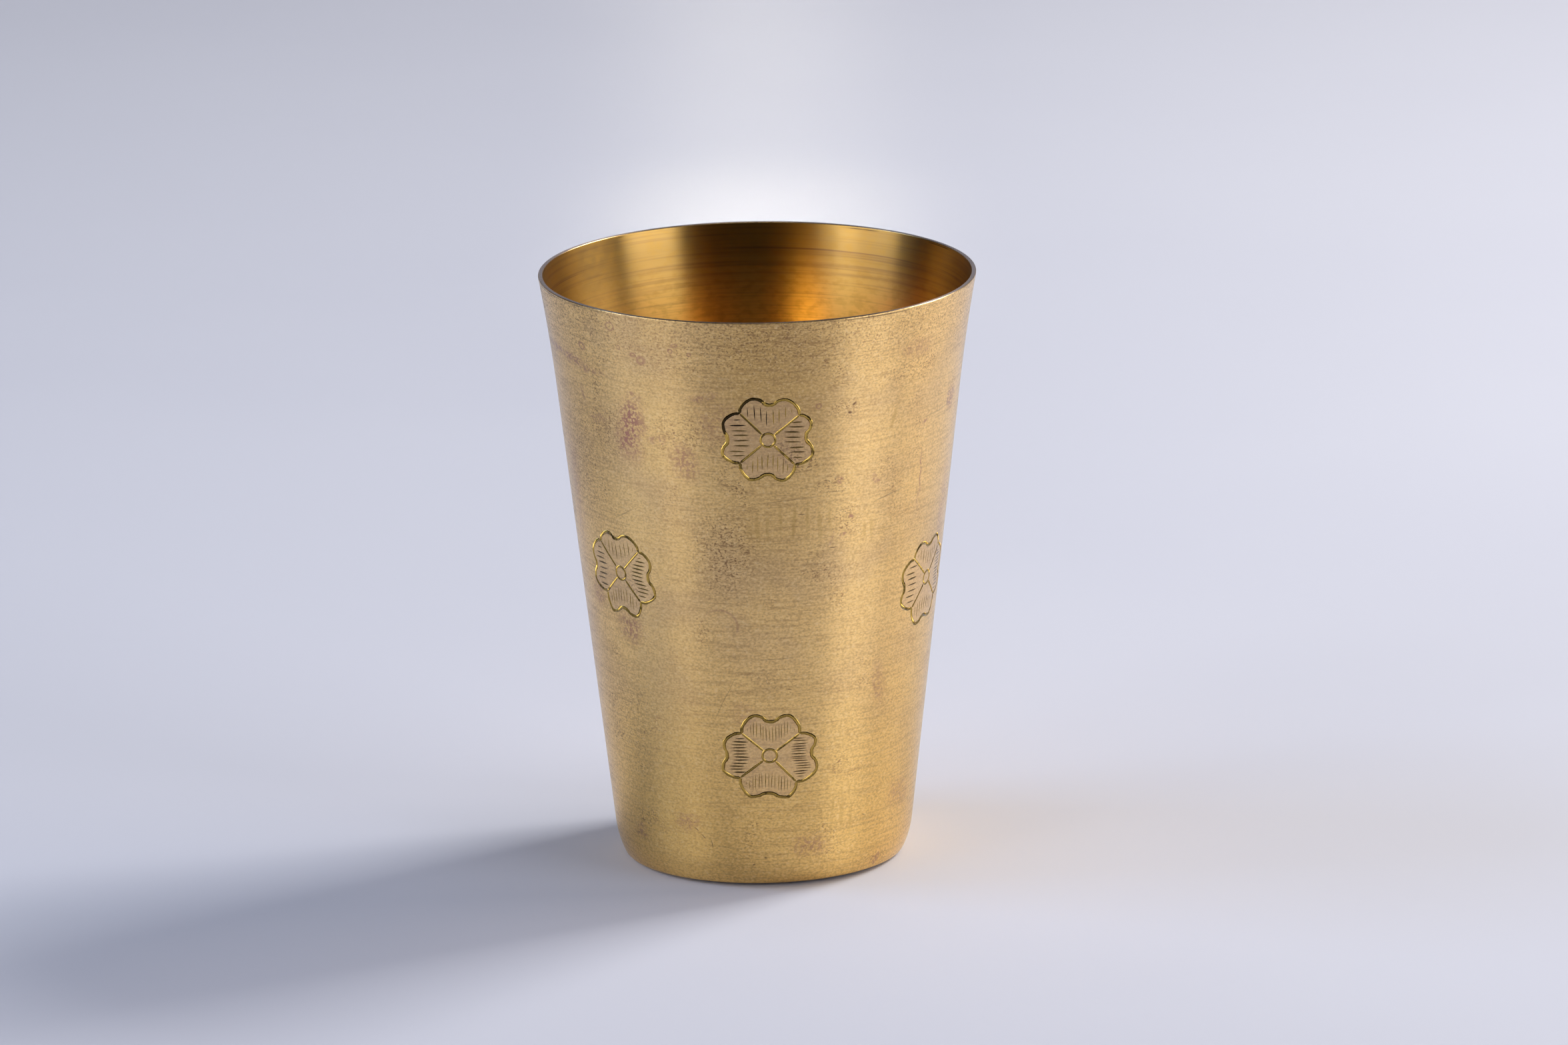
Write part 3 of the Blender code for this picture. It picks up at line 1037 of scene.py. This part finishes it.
def inner_brass():
    """The inner face: deeper in colour, with wavy turning lines."""
    made = Shading("inner_brass")
    made.brush(0.8)
    turning = made.noise((0.02, 0.02, 1.4), 3.0, 11.0)
    fine_turning = made.noise((0.05, 0.05, 4.0), 2.0, 12.0)
    mottle = made.noise((0.5, 0.5, 0.9), 3.0, 13.0)
    colour = made.over(INNER_DEEP, made.step(made.height, 0.089, 0.104), INNER_RIM)
    colour = made.over(colour, made.step(mottle, 0.42, 0.66), INNER_AMBER, 0.35)
    colour = made.over(colour, made.step(turning, 0.48, 0.66), UMBER, 0.34)
    colour = made.over(colour, made.step(fine_turning, 0.52, 0.70), UMBER, 0.20)
    from_score = made.math("ABSOLUTE", made.math("SUBTRACT", made.height, HEIGHT - SCORE_DROP))
    score = made.math("MULTIPLY", made.step(from_score, 0.00035, 0.00010), made.step(turning, 0.35, 0.5))
    colour = made.over(colour, score, UMBER, 0.8)
    roughness = made.math("MULTIPLY_ADD", mottle, 0.08, 0.27)
    surface = made.math("MULTIPLY_ADD", turning, 2.0, fine_turning)
    return made.finish(lip_colour(made, colour), roughness, surface, INNER_BUMP)


def base_brass():
    """The base: turning rings, dulled where the contents and the table touched it."""
    made = Shading("base_brass")
    made.brush(0.5)
    flat = made.node("ShaderNodeCombineXYZ", {0: made.across, 1: made.away}).outputs[0]
    outward = made.node("ShaderNodeCombineXYZ", {0: made.length(flat)}).outputs[0]
    rings = made.node("ShaderNodeTexNoise", {0: outward, "Scale": 3000.0})
    mottle = made.noise((0.25, 0.25, 0.25), 4.0, 21.0)
    colour = made.over(GOLD, made.step(mottle, 0.40, 0.64), TAN)
    colour = made.over(colour, made.step(rings.outputs[0], 0.50, 0.66), UMBER, 0.35)
    spots = made.step(made.noise((0.9, 0.9, 0.9), 3.0, 22.0), 0.58, 0.68)
    colour = made.over(colour, spots, PURPLE_BROWN, 0.5)
    roughness = made.math("MULTIPLY_ADD", mottle, 0.25, 0.24)
    return made.finish(colour, roughness, rings.outputs[0], BASE_BUMP)


def brazing_metal():
    """The brazing: paler than the brass, grainy and dulled in patches."""
    made = Shading("brazing_metal")
    grain = made.noise((1.6, 1.6, 1.6), 3.0, 31.0)
    patches = made.noise((0.30, 0.30, 0.30), 3.0, 32.0)
    colour = made.over(BRAZING, made.step(patches, 0.42, 0.62), BRAZING_DULL, 0.8)
    colour = made.over(colour, made.step(grain, 0.55, 0.68), UMBER, 0.5)
    roughness = made.math("MULTIPLY_ADD", patches, 0.35, 0.25)
    return made.finish(colour, roughness, grain, BRAZING_BUMP)


def pale_sheet():
    """The table's paper: the same all over, so every light and dark place on it comes from the lights."""
    made = Shading("pale_sheet", 0.0)
    clouds = made.noise((0.004, 0.004, 0.004), 3.0, 41.0)
    fibres = made.noise((1.2, 1.2, 1.2), 2.0, 42.0)
    colour = made.over(SHEET, made.step(clouds, 0.35, 0.65), SHEET_SHADE)
    return made.finish(colour, made.math("MULTIPLY_ADD", fibres, 0.1, 0.8), fibres, SHEET_BUMP)


def softbox(name, place, target, size, power, colour):
    data = bpy.data.lights.new(name, "AREA")
    data.shape = "RECTANGLE"
    data.size, data.size_y = size
    data.energy = power
    data.color = colour
    made = placed(name, data)
    made.location = place
    made.rotation_euler = (Vector(target) - Vector(place)).to_track_quat("-Z", "Y").to_euler()
    return made


def round_the_cup(name, turn, climb, size, power, colour):
    """A softbox aimed at the tumbler, `turn` degrees round from the front to the right and `climb` up."""
    turn, climb = math.radians(turn), math.radians(climb)
    level = LIGHT_DISTANCE * math.cos(climb)
    aim = Vector((0.0, 0.0, HEIGHT / 2))
    place = aim + Vector((level * math.sin(turn), -level * math.cos(turn), LIGHT_DISTANCE * math.sin(climb)))
    return softbox(name, place, aim, size, power, colour)


LIGHT_DISTANCE = 1.5
GLOW_SPREAD = math.radians(16)
NEUTRAL = (1.0, 1.0, 0.97)
WARM = (1.0, 0.86, 0.72)
COOL = (0.50, 0.68, 1.0)
PLAIN_COOL = (0.94, 0.95, 1.0)
FAINT_WARM = (1.0, 0.93, 0.70)


def build_light():
    round_the_cup("key_right_behind", 122.5, 38, (0.46, 0.55), 16.2, NEUTRAL)
    round_the_cup("warm_right", 104, 28, (0.70, 0.70), 6.2, WARM)
    round_the_cup("cool_left", 270, 38, (0.60, 0.60), 5.8, COOL)
    round_the_cup("low_left_front", 314, 13, (0.58, 0.60), 2.1, PLAIN_COOL)
    round_the_cup("low_left", 296, 14, (1.05, 0.70), 6.6, PLAIN_COOL)
    round_the_cup("low_right_front", 61, 13, (0.86, 0.70), 8.3, PLAIN_COOL)
    softbox("overhead", (0.03, -0.08, 1.1), (0.03, -0.08, 0.0), (0.5, 0.5), 1.6, PLAIN_COOL)
    for place, length, power in ((0.46, 0.14, 0.0068), (0.60, 0.34, 0.0100)):
        over, under = (0.0, place, 0.35), (0.0, place + 0.01, 0.0)
        glow = softbox("glow_behind", over, under, (0.03, length), power, FAINT_WARM)
        glow.data.spread = GLOW_SPREAD


bpy.context.scene.view_settings.view_transform = "Standard"
build_camera()
floor = build_floor(pale_sheet())
build_light()

wall = build_wall()
base = build_base()
seam = build_fillet(random.Random(3))
for piece, node, slot, materials in (
    (wall, "tumbler_wall", "worn_brass", (worn_brass(), inner_brass())),
    (base, "base_disc", "worn_brass", (base_brass(),)),
    (seam, "brazed_fillet", "brazing_metal", (brazing_metal(),)),
):
    for material in materials:
        piece.data.materials.append(material)
    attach(piece, "root")
    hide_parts(node)
